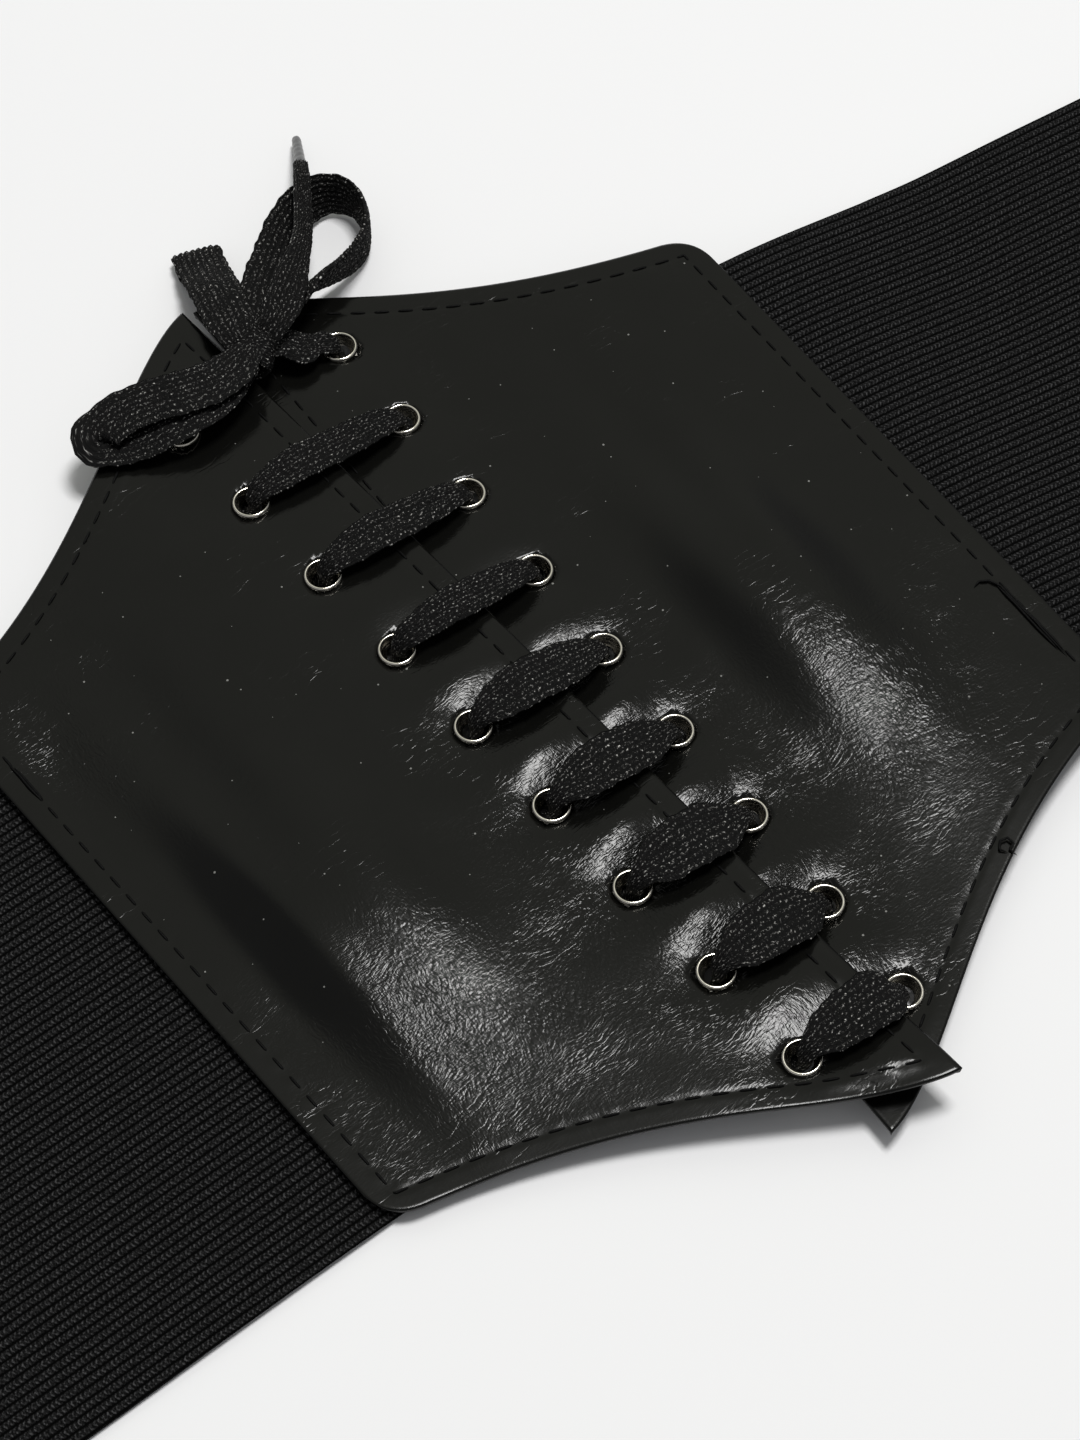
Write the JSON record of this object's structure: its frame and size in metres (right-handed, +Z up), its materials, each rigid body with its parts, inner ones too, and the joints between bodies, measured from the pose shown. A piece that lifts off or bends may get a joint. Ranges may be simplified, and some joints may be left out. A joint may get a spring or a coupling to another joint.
{
  "type": "lace-up corset waist belt",
  "caption": "Wide waist belt with two imitation-leather front panels laced edge to edge and ribbed elastic sides, lying open and flat",
  "frame": {"origin": "on the surface the belt lies on, under the middle of the belt's footprint, the bow left out", "axes": "+X along the belt towards the hook end, +Y along the lacing towards the bow, +Z up"},
  "size_m": [0.6802, 0.2354, 0.0171],
  "materials": {
    "leather": "satin black imitation leather with a fine crumpled grain",
    "elastic": "matt black ribbed elastic",
    "lace_braid": "matt black flat braid",
    "eyelet_metal": "polished warm nickel plate",
    "clasp_metal": "polished nickel plate",
    "aglet_plastic": "black plastic sheath"
  },
  "bodies": {
    "root": {"panel_left": "leather", "panel_right": "leather", "eyelet_left_1": "eyelet_metal", "eyelet_left_2": "eyelet_metal", "eyelet_left_3": "eyelet_metal", "eyelet_left_4": "eyelet_metal", "eyelet_left_5": "eyelet_metal", "eyelet_left_6": "eyelet_metal", "eyelet_left_7": "eyelet_metal", "eyelet_left_8": "eyelet_metal", "eyelet_left_9": "eyelet_metal", "eyelet_right_1": "eyelet_metal", "eyelet_right_2": "eyelet_metal", "eyelet_right_3": "eyelet_metal", "eyelet_right_4": "eyelet_metal", "eyelet_right_5": "eyelet_metal", "eyelet_right_6": "eyelet_metal", "eyelet_right_7": "eyelet_metal", "eyelet_right_8": "eyelet_metal", "eyelet_right_9": "eyelet_metal", "elastic_left": "elastic", "elastic_right": "elastic", "lace": "lace_braid", "bow_knot": "lace_braid", "strand_left": "lace_braid", "strand_right": "lace_braid", "loop_lower": "lace_braid", "loop_upper": "lace_braid", "tail_folded": "lace_braid", "tail_upper": "lace_braid", "aglet_folded": "aglet_plastic", "aglet_upper": "aglet_plastic", "clasp_hook": "clasp_metal"}
  },
  "joints": []
}
